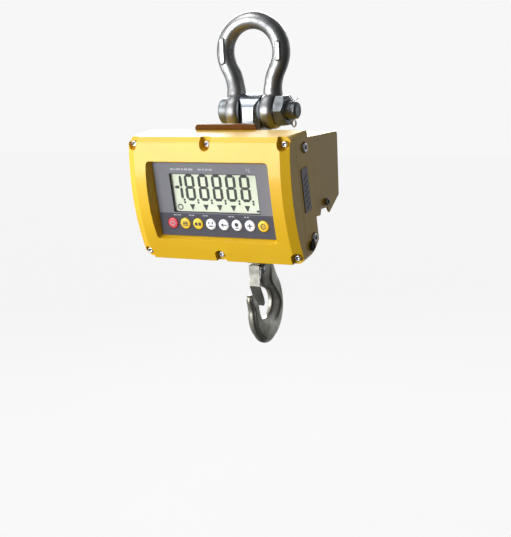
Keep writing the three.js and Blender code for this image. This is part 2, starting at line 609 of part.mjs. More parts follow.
add(face, "front_cover", frontCover(), "yellow_paint");
add(face, "rear_shell", rearShell(), "yellow_paint");
add(face, "cover_gasket", coverGasket(), "black_rubber");
add(face, "keypad_overlay", keypadOverlay(), "panel_film");
add(face, "display_window", displayWindow(), "lcd_glass");
add(face, "lcd_module", box(-48, 50, 2.8, 5.6, -16, 27.5), "lcd_glass");
add(face, "main_board", box(-74, 74, 7, 8.6, -43, 43), "board_green");
add(face, "inner_frame", innerFrame(), "bright_steel");
const KEY_COLOURS = ["red", "yellow", "yellow", "white", "white", "white", "white", "yellow"];
keyIndexes.forEach((i) => add(face, `key_${i + 1}`, keyCap(i), `key_${KEY_COLOURS[i]}`));
coverScrewPlaces().forEach(([x, z], i) =>
  add(face, `cover_screw_${i + 1}`, coverScrew(x, z), "screw_steel"));
sideScrewPlaces().forEach(([side, z], i) =>
  add(face, `side_screw_${i + 1}`, screwX(side, SIDE_SCREW.y, z, 79 + GAP, 2.5, 4, 4.6, 7), "screw_steel"));
housingScrews().forEach(([x, z], i) =>
  add(face, `housing_screw_${i + 1}`, housingScrew(x, z), "screw_steel"));
add(face, "side_label", box(HALF_W + GAP, HALF_W + GAP + 0.4, 16, 28.5, -15, 25), "label_film");
add(face, "vent_plug", ventPlug(), "black_rubber");
add(face, "lead_gland", leadGland(), "black_plastic");

function coverScrew(x, z) {
  return screwY(x, z, COVER_SCREW.seat - GAP, COVER_SCREW.r, 2.75, 3, 15);
}

function housingScrew(x, z) {
  const head = BACK_Y + 4 + GAP;
  const profile = [[18 + 12, 0], [30, 2.5], [head, 2.5], [head, 4.2], [head + 2.6, 4.2], [head + 2.6, 0]];
  return turnedY(profile, x, z, 12);
}

function rearCoverScrew(side) {
  return screwX(side, REAR_SCREW.y, REAR_SCREW.z, REAR.halfX + GAP, 1.6, 3.4, 2.8, 6);
}

function ventPlug() {
  const x = HALF_W + GAP;
  return turnedX([[x, 0], [x, 4.6], [x + 1.6, 4.6], [x + 2.4, 3.8], [x + 2.4, 0]], 20.5, -47, 14);
}

add(scale, "rear_cover", rearCover(), "yellow_paint");
[-1, 1].forEach((side, i) =>
  add(scale, `rear_cover_screw_${i + 1}`, rearCoverScrew(side), "screw_steel"));
add(scale, "battery_holder", batteryHolder(), "black_plastic");
add(scale, "battery_pack", batteryPack(), "cell_wrap");
add(scale, "cell_lead", cellLead(), "black_rubber");

add(scale, "hook", hook(), "forged_steel");
add(scale, "hook_pin", hookPin(), "bright_steel");
add(scale, "hook_split_pin", splitPin(HOOK_COTTER_X, PIN_Z, 5, 0.9, false), "screw_steel");
add(scale, "latch", latch(), "forged_steel");
add(scale, "latch_pin", latchPin(), "bright_steel");
add(scale, "latch_spring", latchSpring(), "screw_steel");

export default scale;
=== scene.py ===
"""A hanging crane scale: bow shackle, load cell, tilted display housing and latched hook.

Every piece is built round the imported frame, in metres, at its place there. Lengths in the
functions below are millimetres and are turned into metres when a mesh is made.
"""
import json
import math

import bmesh
import bpy
import numpy as np
from mathutils import Matrix


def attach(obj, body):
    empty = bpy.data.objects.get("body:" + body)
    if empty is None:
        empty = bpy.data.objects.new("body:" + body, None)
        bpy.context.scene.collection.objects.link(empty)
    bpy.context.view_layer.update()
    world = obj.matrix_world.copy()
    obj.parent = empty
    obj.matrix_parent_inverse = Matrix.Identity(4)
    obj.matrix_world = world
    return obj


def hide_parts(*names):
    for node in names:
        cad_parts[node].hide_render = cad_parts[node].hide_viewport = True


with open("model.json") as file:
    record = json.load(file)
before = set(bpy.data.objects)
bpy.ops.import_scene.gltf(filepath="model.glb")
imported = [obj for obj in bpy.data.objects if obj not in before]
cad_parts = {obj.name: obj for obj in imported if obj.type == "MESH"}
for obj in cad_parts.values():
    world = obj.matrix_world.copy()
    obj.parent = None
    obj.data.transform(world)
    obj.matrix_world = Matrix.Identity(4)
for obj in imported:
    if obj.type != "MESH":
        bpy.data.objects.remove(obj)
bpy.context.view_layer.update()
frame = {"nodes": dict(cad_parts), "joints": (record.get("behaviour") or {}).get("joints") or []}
NODES = frame["nodes"]

MM = 0.001
TAU = 2 * math.pi


# ---- frames ---------------------------------------------------------------
def corners(node, inverse=np.eye(4)):
    """Lowest and highest corner of a node, in mm, in the frame that the inverse matrix leads to."""
    mesh = NODES[node].data
    co = np.empty(len(mesh.vertices) * 3)
    mesh.vertices.foreach_get("co", co)
    local = co.reshape(-1, 3) @ inverse[:3, :3].T + inverse[:3, 3]
    return local.min(0) / MM, local.max(0) / MM


def housing_frame():
    """The display housing's own frame: keys travel along its +Y, and the panel's front is y = 0."""
    press = next(j for j in frame["joints"] if j["name"] == "key_1_press")
    tilt = math.atan2(press["axis"][2], press["axis"][1])
    matrix = np.array(Matrix.Rotation(tilt, 4, "X"))
    low, high = corners("keypad_overlay", matrix.T)
    centre = np.array([0.0, low[1], (low[2] + high[2]) / 2]) * MM
    matrix[:3, 3] = matrix[:3, :3] @ centre
    return matrix, tilt


WORLD = np.eye(4)
HOUSING, TILT = housing_frame()
TO_HOUSING = np.linalg.inv(HOUSING)


def housing_corners(node):
    return corners(node, TO_HOUSING)


# ---- materials ------------------------------------------------------------
def srgb(code):
    """Linear colour of a six-figure hexadecimal code."""
    parts = [int(code[i : i + 2], 16) / 255 for i in (0, 2, 4)]
    return (*[c / 12.92 if c <= 0.04045 else ((c + 0.055) / 1.055) ** 2.4 for c in parts], 1.0)


class Wire:
    """A number socket that stands in a Python expression: each operation adds its Math node."""

    def __init__(self, finish, socket):
        self.finish = finish
        self.socket = socket

    def _math(self, operation, first, second):
        return self.finish.add("ShaderNodeMath", {"operation": operation}, {0: first, 1: second})

    def __add__(self, other):
        return self._math("ADD", self, other)

    def __sub__(self, other):
        return self._math("SUBTRACT", self, other)

    def __rsub__(self, other):
        return self._math("SUBTRACT", other, self)

    def __mul__(self, other):
        return self._math("MULTIPLY", self, other)

    __radd__ = __add__
    __rmul__ = __mul__


class Finish:
    """A material round one Principled shader, with helpers that add its nodes."""

    def __init__(self, name, **constants):
        self.material = bpy.data.materials.new(name)
        self.material.use_nodes = True
        self.tree = self.material.node_tree
        self.shader = self.tree.nodes["Principled BSDF"]
        self.set(**constants)

    def set(self, **sockets):
        """Sets or links the shader's sockets; Base_Color stands for Base Color."""
        for key, value in sockets.items():
            self.feed(self.shader.inputs[key.replace("_", " ")], value)

    def feed(self, socket, value):
        if isinstance(value, Wire):
            self.tree.links.new(value.socket, socket)
        else:
            socket.default_value = value

    def add(self, kind, settings=None, inputs=None, output=0):
        node = self.tree.nodes.new(kind)
        for key, value in (settings or {}).items():
            if key == "stops":
                self._stops(node.color_ramp, value)
            else:
                setattr(node, key, value)
        for key, value in (inputs or {}).items():
            self.feed(node.inputs[key], value)
        return Wire(self, node.outputs[output])

    @staticmethod
    def _stops(ramp, stops):
        while len(ramp.elements) < len(stops):
            ramp.elements.new(1.0)
        for element, (position, colour) in zip(ramp.elements, stops):
            element.position = position
            element.color = colour

    def place(self, stretch=(1, 1, 1), in_housing=False):
        """Object coordinates, stretched, or turned into the housing's frame."""
        where = self.add("ShaderNodeTexCoord", output="Object")
        if in_housing:
            where = self.add(
                "ShaderNodeMapping",
                {"vector_type": "TEXTURE"},
                {"Vector": where, "Location": tuple(HOUSING[:3, 3]), "Rotation": (TILT, 0, 0)},
            )
        return self.add("ShaderNodeMapping", {}, {"Vector": where, "Scale": stretch})

    def noise(self, scale, detail=3.0, where=None, rough=0.55):
        where = where or self.place()
        return self.add(
            "ShaderNodeTexNoise", {},
            {"Vector": where, "Scale": scale, "Detail": detail, "Roughness": rough},
        )

    def axis(self, where, index):
        return self.add("ShaderNodeSeparateXYZ", {}, {0: where}, output=index)

    def between(self, value, low, high):
        """0 at low, 1 at high, straight between and held outside."""
        return self.add(
            "ShaderNodeMapRange", {}, {"Value": value, "From Min": low, "From Max": high}
        )

    def mix(self, factor, first, second):
        return self.add(
            "ShaderNodeMix", {"data_type": "RGBA"}, {0: factor, 6: first, 7: second}, output=2
        )

    def ramp(self, value, *stops):
        return self.add("ShaderNodeValToRGB", {"stops": stops}, {0: value})

    def bump(self, height, depth, strength=1.0):
        """A Normal from a height between 0 and 1 that stands for depth millimetres."""
        self.set(
            Normal=self.add(
                "ShaderNodeBump", {},
                {"Height": height, "Distance": depth * MM, "Strength": strength},
            )
        )
        return self


def painted(name, colour, faded, deep, gloss=0.4):
    """Sprayed paint: slow drift of colour, fine orange peel, and small scuffs that dull it."""
    f = Finish(name, Specular_IOR_Level=gloss, IOR=1.5, Coat_Roughness=0.15)
    drift = f.between(f.noise(14, 3), 0.35, 0.7)
    body = f.mix(drift, colour, faded)
    grime = f.between(f.noise(160, 5, rough=0.65), 0.62, 0.8)
    peel = f.noise(900, 2)
    f.set(
        Base_Color=f.mix(grime * 0.35, body, deep),
        Roughness=0.4 + 0.1 * f.noise(60, 4) + 0.15 * grime,
        Coat_Weight=gloss * 0.7 - 0.15 * grime,
    )
    return f.bump(peel, 0.05, 0.35).material


def metal(name, bright, dark, rough, grain=70, depth=0.05, stretch=(1, 1, 1), spots=0.35):
    """Bare steel: clouds of two tones, a skin of fine pits, and duller patches."""
    f = Finish(name, Metallic=1.0)
    clouds = f.between(f.noise(grain, 5, rough=0.6), 0.32, 0.68)
    pits = f.noise(grain * 9, 4, f.place(stretch), 0.6)
    patches = f.between(f.noise(grain * 0.4, 4), 0.5, 0.75)
    f.set(
        Base_Color=f.mix(patches * spots, f.mix(clouds, bright, dark), dark),
        Roughness=rough + 0.14 * clouds + 0.12 * patches,
    )
    return f.bump(pits, depth, 0.5).material


def moulded(name, colour, rough=0.5, grain=1400, depth=0.02, **constants):
    """Moulded plastic or rubber with a fine eroded grain and a slight change of tone."""
    f = Finish(name, **constants)
    tone = f.between(f.noise(80, 4), 0.3, 0.75)
    paler = (*[min(1.0, c * 1.25 + 0.006) for c in colour[:3]], 1.0)
    f.set(
        Base_Color=f.mix(tone, colour, paler),
        Roughness=rough + 0.12 * f.noise(260, 3),
    )
    return f.bump(f.noise(grain, 3), depth, 0.5).material


def panel_film():
    """Printed film: mid grey, with a darker strip below the read-out, under a fine matt texture."""
    f = Finish("panel film", Specular_IOR_Level=0.35)
    where = f.place(in_housing=True)
    height = f.axis(where, 2)
    strip_top = housing_corners("display_window")[0][2] - 0.3
    upper = f.between(height, (strip_top - 0.15) * MM, (strip_top + 0.15) * MM)
    tone = f.noise(24, 3) * 0.6
    grey = f.mix(tone, srgb("74747c"), srgb("83838a"))
    slate = f.mix(tone, srgb("42424c"), srgb("4e4e59"))
    f.set(
        Base_Color=f.mix(upper, slate, grey),
        Roughness=0.42 + 0.12 * f.noise(300, 4),
    )
    return f.bump(f.noise(2600, 2), 0.012, 0.5).material


def read_out():
    """The liquid crystal cell: pale grey-green with a slow drift and the mesh of its rear film."""
    f = Finish("read-out cell", Specular_IOR_Level=0.3)
    drift = f.between(f.noise(28, 3), 0.3, 0.7)
    where = f.place(in_housing=True)
    mesh = f.noise(1800, 1, where)
    f.set(
        Base_Color=f.mix(drift, srgb("dde6cc"), srgb("e6ecd8")),
        Roughness=0.4 + 0.2 * mesh,
    )
    return f.bump(mesh, 0.01, 0.3).material


def window_film():
    """The clear window: faint, smooth, with a few dusty spots."""
    f = Finish("clear window", IOR=1.49, Base_Color=srgb("e6ece2"))
    dust = f.between(f.noise(420, 5, rough=0.7), 0.64, 0.78)
    f.set(Alpha=0.03 + 0.05 * dust, Roughness=0.06 + 0.3 * dust)
    return f.material


def printed_label():
    """A pale film label with a column of slanted dark bars that stand for its print."""
    f = Finish("side label", Specular_IOR_Level=0.4)
    low, high = housing_corners("side_label")
    where = f.place(in_housing=True)
    y, z = f.axis(where, 1), f.axis(where, 2)
    slant = (z - y * 0.55) * (1 / (5.2 * MM))
    saw = f.add("ShaderNodeMath", {"operation": "FRACT"}, {0: slant})
    middle = (low[1] + high[1]) / 2 * MM
    across = f.add("ShaderNodeMath", {"operation": "ABSOLUTE"}, {0: y - middle})
    inside = f.between(across, 3.9 * MM, 3.6 * MM)
    ends = f.between(z, (low[2] + 2.5) * MM, (low[2] + 3) * MM) * f.between(
        z, (high[2] - 6.5) * MM, (high[2] - 7) * MM
    )
    bars = f.between(saw, 0.5, 0.56) * inside * ends
    grain = f.noise(700, 3)
    f.set(
        Base_Color=f.mix(bars, srgb("9c9da2"), srgb("42434a")),
        Roughness=0.4 + 0.15 * grain,
    )
    return f.bump(grain, 0.01, 0.3).material


def circuit_board():
    """Green lacquer over the lighter lines and pads of the copper."""
    f = Finish("board green")
    where = f.place(in_housing=True)
    tracks = f.add(
        "ShaderNodeTexBrick", {},
        {"Vector": where, "Scale": 90.0, "Mortar Size": 0.04, "Color1": srgb("16552f"),
         "Color2": srgb("1a6236"), "Mortar": srgb("2d8a50")},
    )
    f.set(Base_Color=tracks, Roughness=0.3 + 0.2 * f.noise(300, 3))
    return f.bump(f.noise(1200, 2), 0.02, 0.4).material


def pale_floor():
    """The studio floor: pale, matt, with a hardly seen drift of tone."""
    f = Finish("pale floor", Specular_IOR_Level=0.1, Emission_Strength=0.93)
    f.set(
        Base_Color=f.mix(f.noise(2, 2), (0.02, 0.02, 0.02, 1), (0.03, 0.03, 0.03, 1)),
        Emission_Color=(0.95, 0.95, 0.95, 1),
        Roughness=0.8 + 0.1 * f.noise(30, 2),
    )
    return f.material


LOOKS = {
    "yellow_paint": painted("yellow paint", srgb("e0b010"), srgb("e6ba1e"), srgb("8f6a14")),
    "cover_paint": painted("cover paint", srgb("d6aa12"), srgb("dcb420"), srgb("8a6614")),
    # dark brown that stands for the yellow-painted bracket in shade: painted shade; the darkest tone
    # marks random scuffs
    "bracket_paint": painted("bracket brown as painted shade", srgb("5e3602"), srgb("683c04"), srgb("3a2402"), 0.12),
    "bright_steel": metal("galvanised steel", srgb("a9aaa9"), srgb("747577"), 0.31),
    "dull_steel": metal("dull zinc plate", srgb("8e9396"), srgb("5f6366"), 0.36, 90, 0.04),
    "machined_steel": metal(
        "machined steel", srgb("a4aab2"), srgb("757b84"), 0.24, 40, 0.02, (1, 1, 14), 0.2
    ),
    "screw_steel": metal("zinc plated steel", srgb("dadbe0"), srgb("a9aab2"), 0.2, 300, 0.02),
    "forged_steel": metal(
        "forged steel", srgb("c6c4bb"), srgb("8c897c"), 0.36, 60, 0.1, (1, 1, 1), 0.6
    ),
    "latch_steel": metal("latch sheet", srgb("979690"), srgb("6f6e64"), 0.4, 90, 0.04),
    "plain_aluminium": metal("plain aluminium", srgb("cfd1d3"), srgb("b0b2b5"), 0.3, 50, 0.02),
    "panel_film": panel_film(),
    "clear_window": window_film(),
    "lcd_cell": read_out(),
    "segment_ink": moulded("read-out segments", srgb("10140f"), 0.5, 900, 0.004),
    # near-black walls of the read-out's opening: painted shade of the recess
    "recess_painted_shade": moulded("painted shade of the opening's walls", srgb("17181b"), 0.5, 900, 0.004),
    "pale_ink": moulded("pale legend ink", srgb("a6a7b0"), 0.5, 900, 0.004),
    "icon_ink": moulded("key mark ink", srgb("2e2e34"), 0.5, 900, 0.004),
    "label_film": printed_label(),
    "board_green": circuit_board(),
    "black_rubber": moulded("black rubber", srgb("1d1d1d"), 0.62, 1100, 0.04),
    "black_plastic": moulded("black plastic", srgb("232427"), 0.45),
    "battery_case": moulded("battery case", srgb("2d333c"), 0.4),
    "key_red": moulded("red key", srgb("c9424c"), 0.34),
    "key_yellow": moulded("yellow key", srgb("efc232"), 0.34),
    "key_white": moulded("white key", srgb("e4e3ea"), 0.34),
}


# ---- meshes ---------------------------------------------------------------
def grid_quads(rows, columns, wrap_rows=False, wrap_columns=True):
    """Quads between neighbouring rows and columns; a wrapped side joins its last line to its first."""
    i = np.arange(rows if wrap_rows else rows - 1)[:, None]
    j = np.arange(columns if wrap_columns else columns - 1)[None, :]
    i2, j2 = (i + 1) % rows, (j + 1) % columns
    quads = np.stack([i * columns + j, i * columns + j2, i2 * columns + j2, i2 * columns + j], -1)
    return quads.reshape(-1, 4).tolist()


def joined(*parts):
    """Several (points, faces) parts as one."""
    points, faces, start = [], [], 0
    for part_points, part_faces in parts:
        points.append(np.asarray(part_points, float).reshape(-1, 3))
        faces += [[start + v for v in face] for face in part_faces]
        start += len(points[-1])
    return np.concatenate(points), faces


def clean_mesh(name, part, where=WORLD):
    """A mesh from a part in mm, placed, with its doubles merged and its faces turned outwards."""
    points, faces = part
    placed = points @ where[:3, :3].T * MM + where[:3, 3]
    mesh = bpy.data.meshes.new(name)
    mesh.from_pydata(placed.tolist(), [], faces)
    bm = bmesh.new()
    bm.from_mesh(mesh)
    bmesh.ops.remove_doubles(bm, verts=bm.verts, dist=1e-6)
    bmesh.ops.dissolve_degenerate(bm, edges=bm.edges, dist=1e-7)
    bmesh.ops.recalc_face_normals(bm, faces=bm.faces)
    bm.to_mesh(mesh)
    bm.free()
    return mesh


def shaded(mesh, sharp):
    """Smooth shading, with the edges that turn more than sharp degrees kept crisp."""
    mesh.polygons.foreach_set("use_smooth", np.ones(len(mesh.polygons), bool))
    mesh.set_sharp_from_angle(angle=math.radians(sharp))
    return mesh


def settle(piece, look, body, stands_for=()):
    """Gives a piece its finish, its body and the nodes that it stands for."""
    piece.data.materials.clear()
    piece.data.materials.append(LOOKS[look])
    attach(piece, body)
    if stands_for:
        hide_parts(*stands_for)
    return piece


def piece_from(name, mesh, look, body, stands_for=()):
    piece = bpy.data.objects.new(name, mesh)
    bpy.context.scene.collection.objects.link(piece)
    return settle(piece, look, body, stands_for)


def made(name, part, look, body, stands_for=(), where=WORLD, sharp=35):
    mesh = shaded(clean_mesh(name, part, where), sharp)
    return piece_from(name, mesh, look, body, stands_for)


def rounded_node(node, look, body, width, segments=2, limit=24):
    """The node's own solid, its triangles merged into plain faces and its edges rounded."""
    mesh = bpy.data.meshes.new(node + "_rounded")
    bm = bmesh.new()
    bm.from_mesh(NODES[node].data)
    bmesh.ops.remove_doubles(bm, verts=bm.verts, dist=2e-6)
    bmesh.ops.dissolve_limit(bm, angle_limit=math.radians(0.8), verts=bm.verts, edges=bm.edges)
    bm.to_mesh(mesh)
    bm.free()
    mesh.polygons.foreach_set("use_smooth", np.ones(len(mesh.polygons), bool))
    piece = piece_from(node + "_rounded", mesh, look, body, (node,))
    bevel = piece.modifiers.new("rounded edges", "BEVEL")
    bevel.width = width * MM
    bevel.segments = segments
    bevel.limit_method = "ANGLE"
    bevel.angle_limit = math.radians(limit)
    bevel.use_clamp_overlap = True
    weighted = piece.modifiers.new("even shading", "WEIGHTED_NORMAL")
    weighted.keep_sharp = True
    return piece


def fused(name, parts, look, body, stands_for, voxel, rounds):
    """Overlapping closed parts run together into one forged skin, then smoothed."""
    rough = bpy.data.objects.new(name + "_rough", clean_mesh(name + "_rough", joined(*parts)))
    bpy.context.scene.collection.objects.link(rough)
    remesh = rough.modifiers.new("one skin", "REMESH")
    remesh.mode = "VOXEL"
    remesh.voxel_size = voxel * MM
    smooth = rough.modifiers.new("forged", "SMOOTH")
    smooth.factor = 0.5
    smooth.iterations = rounds
    finished = rough.evaluated_get(bpy.context.evaluated_depsgraph_get())
    mesh = bpy.data.meshes.new_from_object(finished)
    bpy.data.objects.remove(rough)
    mesh.name = name
    return piece_from(name, shaded(mesh, 60), look, body, stands_for)


# ---- shapes ---------------------------------------------------------------
def eased(points, count):
    """count points on a smooth curve through the given ones (a uniform Catmull-Rom spline)."""
    p = np.asarray(points, float)
    p = np.concatenate([[2 * p[0] - p[1]], p, [2 * p[-1] - p[-2]]])
    t = np.linspace(0, len(p) - 3 - 1e-9, count)
    i, u = t.astype(int), (t % 1)[:, None]
    a, b, c, d = p[i], p[i + 1], p[i + 2], p[i + 3]
    return 0.5 * (2 * b + (c - a) * u + (2 * a - 5 * b + 4 * c - d) * u**2
                  + (3 * b - a - 3 * c + d) * u**3)


def unit(vectors):
    return vectors / np.linalg.norm(vectors, axis=-1, keepdims=True)


def tube(path, radius, sides=24, across=(0, 1, 0), flat=1.0):
    """A bar along a path: centre + radius * (cos v * side + flat * sin v * over), with closed ends.

    side is at right angles to the path and to across; radius is one number or one for each point."""
    path = np.asarray(path, float)
    along = unit(np.gradient(path, axis=0))
    side = unit(np.cross(along, np.asarray(across, float)))
    over = np.cross(along, side)
    v = np.linspace(0, TAU, sides, endpoint=False)[None, :, None]
    r = np.broadcast_to(np.asarray(radius, float).reshape(-1, 1, 1), (len(path), 1, 1))
    points = path[:, None] + r * (np.cos(v) * side[:, None] + flat * np.sin(v) * over[:, None])
    last = (len(path) - 1) * sides
    ends = [list(range(sides)), [last + k for k in reversed(range(sides))]]
    return points.reshape(-1, 3), grid_quads(len(path), sides) + ends


def round_ended(path, radius, step=0.35):
    """Radii for a bar that closes in a quarter circle over the last points at each end."""
    path = np.asarray(path, float)
    run = np.concatenate([[0], np.cumsum(np.linalg.norm(np.diff(path, axis=0), axis=1))])
    near = np.minimum(run, run[-1] - run)
    return radius * np.sqrt(np.clip(1 - (1 - np.clip(near / radius, 0, 1)) ** 2, step**2, 1))


ABOUT = {  # axial direction, then the two directions across it
    "x": ((1, 0, 0), (0, 1, 0), (0, 0, 1)),
    "y": ((0, 1, 0), (0, 0, 1), (1, 0, 0)),
}


def turned(profile, about, centre, sides=48, shape=None, closed=False):
    """A profile of [along, radius] pairs turned: centre + along * axis + r * (cos v, sin v).

    shape(along, radius, v) may change the radius, for a hexagon, a thread or a knurl."""
    profile = np.asarray(profile, float)
    axis, first, second = (np.array(d, float) for d in ABOUT[about])
    v = np.linspace(0, TAU, sides, endpoint=False)[None, :]
    a, r = profile[:, :1], np.repeat(profile[:, 1:], sides, 1)
    if shape:
        r = shape(a, r, v)
    points = np.asarray(centre, float) + a[..., None] * axis
    points = points + r[..., None] * (np.cos(v)[..., None] * first + np.sin(v)[..., None] * second)
    return points.reshape(-1, 3), grid_quads(len(profile), sides, wrap_rows=closed)


def hexagon(v, across_flats, start=0.0):
    """Radius of a regular hexagon in direction v, with a corner at start."""
    return across_flats / 2 / np.cos((v - start) % (TAU / 6) - TAU / 12)


def fine(profile, step):
    """The same profile with a point at least every step millimetres."""
    profile = np.asarray(profile, float)
    runs = np.linalg.norm(np.diff(profile, axis=0), axis=1)
    counts = np.maximum(1, np.ceil(runs / step).astype(int))
    sides = zip(profile[:-1], profile[1:], counts)
    spans = [np.linspace(p, q, n, endpoint=False) for p, q, n in sides]
    return np.concatenate([*spans, profile[-1:]])


def prism(outline, y0, y1):
    """A flat plate: an outline of (x, z) points between y0 and y1."""
    outline = np.asarray(outline, float)
    n = len(outline)
    front = np.column_stack([outline[:, 0], np.full(n, y0), outline[:, 1]])
    back = np.column_stack([outline[:, 0], np.full(n, y1), outline[:, 1]])
    return np.concatenate([front, back]), grid_quads(2, n) + [
        list(range(n)), list(reversed(range(n, 2 * n)))
    ]


def bar_mark(x0, x1, z0, z1, r=0.3, steps=5):
    """Outline of a bar with rounded corners."""
    r = min(r, (x1 - x0) / 2.01, (z1 - z0) / 2.01)
    quarter = np.linspace(0, TAU / 4, steps)
    corners_at = [(x1 - r, z1 - r), (x0 + r, z1 - r), (x0 + r, z0 + r), (x1 - r, z0 + r)]
    return np.concatenate([
        np.column_stack([x + r * np.cos(quarter + k * TAU / 4), z + r * np.sin(quarter + k * TAU / 4)])
        for k, (x, z) in enumerate(corners_at)
    ])


def disc_mark(x, z, r, sides=28):
    v = np.linspace(0, TAU, sides, endpoint=False)
    return np.column_stack([x + r * np.cos(v), z + r * np.sin(v)])


def ring_part(x, z, r0, r1, y0, y1, start=0.0, sweep=TAU, sides=36):
    """A flat ring or part of one: a rectangle, radii r0, r1 and depths y0, y1, swept round."""
    whole = sweep >= TAU
    v = start + np.linspace(0, sweep, sides, endpoint=not whole)
    section = np.array([[r0, y0], [r1, y0], [r1, y1], [r0, y1]])
    r, y = section[:, 0][None], section[:, 1][None]
    points = np.stack([x + r * np.cos(v[:, None]), np.broadcast_to(y, (sides, 4)),
                       z + r * np.sin(v[:, None])], -1)
    faces = grid_quads(sides, 4, wrap_rows=whole)
    if not whole:
        faces += [[0, 1, 2, 3], [(sides - 1) * 4 + k for k in (3, 2, 1, 0)]]
    return points.reshape(-1, 3), faces


# ---- shackle --------------------------------------------------------------
BOLT_LOW, BOLT_HIGH = corners("shackle_bolt")
BOLT_Z = (BOLT_LOW[2] + BOLT_HIGH[2]) / 2
BOW_HIGH = corners("shackle_bow")[1]
NUT_LOW, NUT_HIGH = corners("shackle_nut")
BAR_R = 8.5
BOW_R = BOW_HIGH[0] - BAR_R  # crown radius on the bar's centre line
JAW_HALF = 11.5
EYE_THICK = 13.5
EYE_R = 18.0
BOLT_R = 9.0


def bow_path():
    """Crown arc of radius BOW_R carried past its widest points, then legs closing to the jaw."""
    crown_z = BOW_HIGH[2] - BAR_R - BOW_R
    leg_x = JAW_HALF + BAR_R
    angle = np.radians(np.linspace(-24, 204, 15))
    crown = np.column_stack([BOW_R * np.cos(angle), crown_z + BOW_R * np.sin(angle)])
    leg = np.array([[leg_x, BOLT_Z + 15.5], [leg_x, BOLT_Z + 24], [leg_x + 2.4, BOLT_Z + 34]])
    flat = np.concatenate([leg, crown, (leg * [-1, 1])[::-1]])
    return eased(np.column_stack([flat[:, 0], np.zeros(len(flat)), flat[:, 1]]), 160)


def eye_part(side):
    """A barrel-shaped eye turned about the bolt: a section of bore, faces and a crowned rim."""
    inner, outer = JAW_HALF, JAW_HALF + EYE_THICK
    x = np.linspace(inner + 0.8, outer - 0.8, 15)
    rim = EYE_R - 2.4 * np.abs((x - (inner + outer) / 2) / (EYE_THICK / 2)) ** 2.6
    section = np.column_stack([
        np.concatenate([[outer, outer, inner, inner], x]),
        np.concatenate([[EYE_R - 3.6, BOLT_R + 0.3, BOLT_R + 0.3, EYE_R - 3.6], rim]),
    ])
    section[:, 0] *= side
    return turned(section, "x", (0, 0, BOLT_Z), 64, closed=True)


def collar_part(side):
    """The short flare where the leg runs into its eye: a cone about the leg's own line."""
    x = side * (JAW_HALF + BAR_R - 0.6)
    line = [(x, 0, BOLT_Z + z) for z in (10, 14, 17.5, 21, 24)]
    return tube(line, [9.4, 9.4, 9.2, 8.7, 8.2], 40)


def pad_part(x, z0, z1):
    """A blank raised pad on the front of the bow."""
    return prism(bar_mark(x - 2.3, x + 2.3, z0, z1, 1.2), -BAR_R - 0.9, -BAR_R + 2)


fused(
    "bow_forging",
    [
        tube(bow_path(), BAR_R, 40),
        eye_part(1), eye_part(-1), collar_part(1), collar_part(-1),
        pad_part(29.9, -30, -13), pad_part(-29.2, -32, -8),
    ],
    "bright_steel", "shackle", ("shackle_bow",), voxel=0.55, rounds=5,
)


def threaded(pitch, depth, begin, finish):
    """Radius change of a screw thread: a triangle wave that climbs one pitch for each turn."""
    def shape(a, r, v):
        wave = np.abs(((a / pitch - v / TAU) % 1) * 2 - 1)
        fade = np.clip((a - begin) / pitch, 0, 1) * np.clip((finish - a) / pitch, 0, 1)
        return r - depth * wave * fade * (r > 3)
    return shape


def shackle_bolt():
    """A round-headed bolt: crowned head, plain shank, and a rolled thread to its rounded end."""
    x0, x1 = BOLT_LOW[0], BOLT_HIGH[0]
    seat = -JAW_HALF - EYE_THICK - 0.3
    profile = [
        (x0, 0), (x0 + 0.1, 7), (x0 + 0.9, 11), (x0 + 2.2, 12.7), (x0 + 3.4, 13), (seat - 0.5, 13),
        (seat, 12.5), (seat, BOLT_R), (-seat + 0.5, BOLT_R), (-seat + 1, 8.3), (x1 - 1.5, 8.3),
        (x1 - 0.4, 6.9), (x1, 5.2), (x1, 0),
    ]
    thread = threaded(2.0, 0.75, -seat + 1, x1 - 1.2)
    return turned(fine(profile, 0.5), "x", (0, 0, BOLT_Z), 72, thread)


made("shackle_bolt_turned", shackle_bolt(), "dull_steel", "shackle",
     ("shackle_bolt",), sharp=50)


def shackle_nut():
    """A hexagon nut: the lesser of a hexagon and two chamfer cones, round a chamfered bore."""
    x0, x1 = NUT_LOW[0], NUT_HIGH[0]
    bore = BOLT_R - 0.2

    def shape(a, r, v):
        cone = np.minimum(14.3 + (a - x0) * 1.7, 13.9 + (x1 - a) * 1.7)
        return np.where(r > bore + 1.5, np.minimum(hexagon(v, 28.0, math.pi), cone), r)

    outside = np.column_stack([np.linspace(x0, x1, 22), np.full(22, 16.0)])
    section = np.concatenate([
        outside, [(x1, bore + 1.2), (x1 - 1, bore), (x0 + 1, bore), (x0, bore + 1.2)]
    ])
    return turned(section, "x", (0, 0, BOLT_Z), 96, shape, closed=True)


made("shackle_nut_hexagon", shackle_nut(), "dull_steel", "shackle",
     ("shackle_nut",), sharp=25)


def split_pin(x, z, bolt_r, wire, loop_r, up, spread):
    """One wire: splayed prong, down the hole, round the loop and back up to the other prong."""
    d = 1 if up else -1
    gap = wire * 1.02
    top = bolt_r + wire
    loop_z = -(bolt_r + loop_r + wire)
    turn = np.linspace(math.radians(118), math.radians(422), 18)
    loop = np.column_stack([0.62 * loop_r * np.cos(turn), loop_z + loop_r * np.sin(turn)])
    left = [(-gap - spread, top + spread * 1.2), (-gap - spread * 0.55, top + spread * 0.75),
            (-gap, top - 0.4), (-gap, 0), (-gap, -bolt_r)]
    right = [(gap, -bolt_r), (gap, 0), (gap, top - 0.4), (gap + spread * 0.7, top + spread * 0.45),
             (gap + spread * 1.3, top + spread * 0.7)]
    flat = np.concatenate([left, loop, right])
    path = eased(np.column_stack([x + flat[:, 0], np.zeros(len(flat)), z + d * flat[:, 1]]), 150)
    return tube(path, round_ended(path, wire), 12)


made("shackle_split_pin_wire", split_pin(40.4, BOLT_Z, 8.3, 0.82, 3.2, True, 3.4), "screw_steel",
     "shackle", ("shackle_split_pin",), sharp=60)

